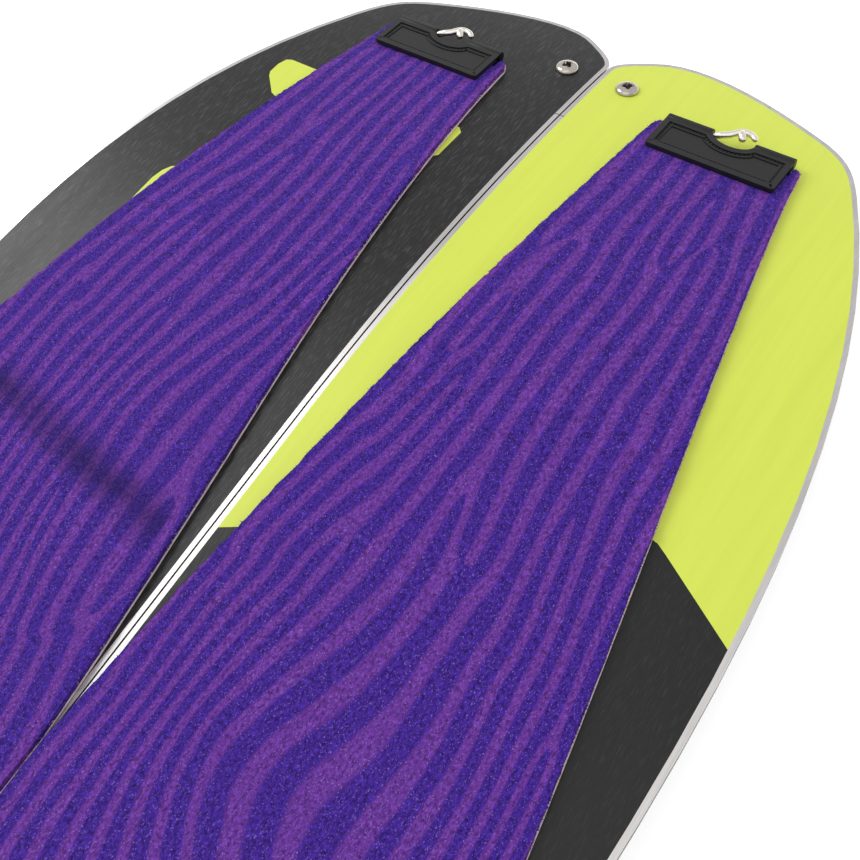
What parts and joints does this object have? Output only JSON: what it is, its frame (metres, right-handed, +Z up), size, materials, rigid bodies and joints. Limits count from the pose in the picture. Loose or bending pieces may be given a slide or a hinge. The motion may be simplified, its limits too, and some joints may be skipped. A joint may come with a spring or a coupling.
{
  "type": "splitboard with climbing skins",
  "caption": "Snowboard that splits lengthwise into two skis, base side up, with a plush climbing skin hooked and strapped over each half.",
  "frame": {"origin": "centre of the footprint on the floor, with the board resting on its nose and tail tips, base side up", "axes": "+Y towards the nose, +X towards the right half, +Z up out of the running base"},
  "size_m": [0.2992, 1.6, 0.0448],
  "materials": {
    "base_black": "sintered base, fine lengthwise grind",
    "base_lime": "printed sintered base",
    "edge_steel": "ground steel edge",
    "laminate": "glass fibre in resin",
    "core_wood": "laminated strips",
    "sidewall_abs": "satin",
    "topsheet": "matt sheet",
    "insert_steel": "plain",
    "screw_steel": "polished stainless",
    "clip_alloy": "anodised",
    "plush": "short directional pile with a striped print",
    "glue": "tacky film",
    "moulded_rubber": "satin moulding",
    "wire": "bright wire",
    "rivet": "plain",
    "stamped_steel": "stamped sheet",
    "lever_plastic": "moulded",
    "strap_rubber": "moulded"
  },
  "bodies": {
    "left_half": {"left_base": "base_black", "left_base_inlays": "base_lime", "left_outer_edge": "edge_steel", "left_inner_edge": "edge_steel", "left_lower_laminate": "laminate", "left_core": "core_wood", "left_sidewall": "sidewall_abs", "left_upper_laminate": "laminate", "left_topsheet": "topsheet", "left_inserts": "insert_steel", "left_clip_bolts": "screw_steel", "left_hook_pivots": "screw_steel"},
    "right_half": {"right_base_front": "base_lime", "right_base_rear": "base_black", "right_outer_edge": "edge_steel", "right_inner_edge": "edge_steel", "right_lower_laminate": "laminate", "right_core": "core_wood", "right_sidewall": "sidewall_abs", "right_upper_laminate": "laminate", "right_topsheet": "topsheet", "right_inserts": "insert_steel", "right_clip_bolts": "screw_steel", "right_hook_posts": "screw_steel"},
    "nose_clip": {"nose_clip_hook": "clip_alloy"},
    "front_clip": {"front_centre_hook": "clip_alloy"},
    "rear_clip": {"rear_centre_hook": "clip_alloy"},
    "tail_clip": {"tail_clip_hook": "clip_alloy"},
    "left_skin": {"left_skin_plush": "plush", "left_skin_glue": "glue", "left_nose_plate": "moulded_rubber", "left_tail_tab": "moulded_rubber", "left_tail_rivets": "rivet", "left_cam_frame": "stamped_steel", "left_cam_pin": "rivet"},
    "left_nose_wire": {"left_nose_hook": "wire"},
    "left_lever": {"left_cam_lever": "lever_plastic"},
    "left_strap": {"left_tail_strap": "strap_rubber", "left_tail_hook": "stamped_steel", "left_hook_rivet": "rivet"},
    "right_skin": {"right_skin_plush": "plush", "right_skin_glue": "glue", "right_nose_plate": "moulded_rubber", "right_tail_tab": "moulded_rubber", "right_tail_rivets": "rivet", "right_cam_frame": "stamped_steel", "right_cam_pin": "rivet"},
    "right_nose_wire": {"right_nose_hook": "wire"},
    "right_lever": {"right_cam_lever": "lever_plastic"},
    "right_strap": {"right_tail_strap": "strap_rubber", "right_tail_hook": "stamped_steel", "right_hook_rivet": "rivet"}
  },
  "joints": [
    {"name": "halves_slide", "type": "slide", "parent": "left_half", "child": "right_half", "axis": [1, 0, 0], "range_m": [0, 0.3]},
    {"name": "nose_clip_swing", "type": "hinge", "parent": "left_half", "child": "nose_clip", "pos_m": [-0.0133, 0.7746, 0.01266], "axis": [0, 0.2413, 0.9704], "range_deg": [0, 90]},
    {"name": "front_centre_swing", "type": "hinge", "parent": "left_half", "child": "front_clip", "pos_m": [-0.028, 0.11, 0.02692], "axis": [0, 0, 1], "range_deg": [0, 90]},
    {"name": "rear_centre_swing", "type": "hinge", "parent": "left_half", "child": "rear_clip", "pos_m": [-0.028, -0.11, 0.02692], "axis": [0, 0, 1], "range_deg": [0, 90]},
    {"name": "tail_clip_swing", "type": "hinge", "parent": "left_half", "child": "tail_clip", "pos_m": [-0.0133, -0.7746, 0.01322], "axis": [0, 0.2589, -0.9659], "range_deg": [0, 90]},
    {"name": "left_skin_lift", "type": "slide", "parent": "left_half", "child": "left_skin", "axis": [0, 0, 1], "range_m": [0, 0.2]},
    {"name": "left_nose_wire_turn", "type": "hinge", "parent": "left_skin", "child": "left_nose_wire", "pos_m": [-0.061, 0.76386, 0.0185], "axis": [1, 0, 0], "range_deg": [0, 100]},
    {"name": "left_cam_turn", "type": "hinge", "parent": "left_skin", "child": "left_lever", "pos_m": [-0.061, -0.6952, 0.03819], "axis": [1, 0, 0], "range_deg": [0, 110]},
    {"name": "left_strap_pull", "type": "slide", "parent": "left_skin", "child": "left_strap", "axis": [0, -0.9906, -0.1368], "range_m": [0, 0.01]},
    {"name": "right_skin_lift", "type": "slide", "parent": "right_half", "child": "right_skin", "axis": [0, 0, 1], "range_m": [0, 0.2]},
    {"name": "right_nose_wire_turn", "type": "hinge", "parent": "right_skin", "child": "right_nose_wire", "pos_m": [0.061, 0.76386, 0.0185], "axis": [1, 0, 0], "range_deg": [0, 100]},
    {"name": "right_cam_turn", "type": "hinge", "parent": "right_skin", "child": "right_lever", "pos_m": [0.061, -0.6952, 0.03819], "axis": [1, 0, 0], "range_deg": [0, 110]},
    {"name": "right_strap_pull", "type": "slide", "parent": "right_skin", "child": "right_strap", "axis": [0, -0.9906, -0.1368], "range_m": [0, 0.01]}
  ]
}
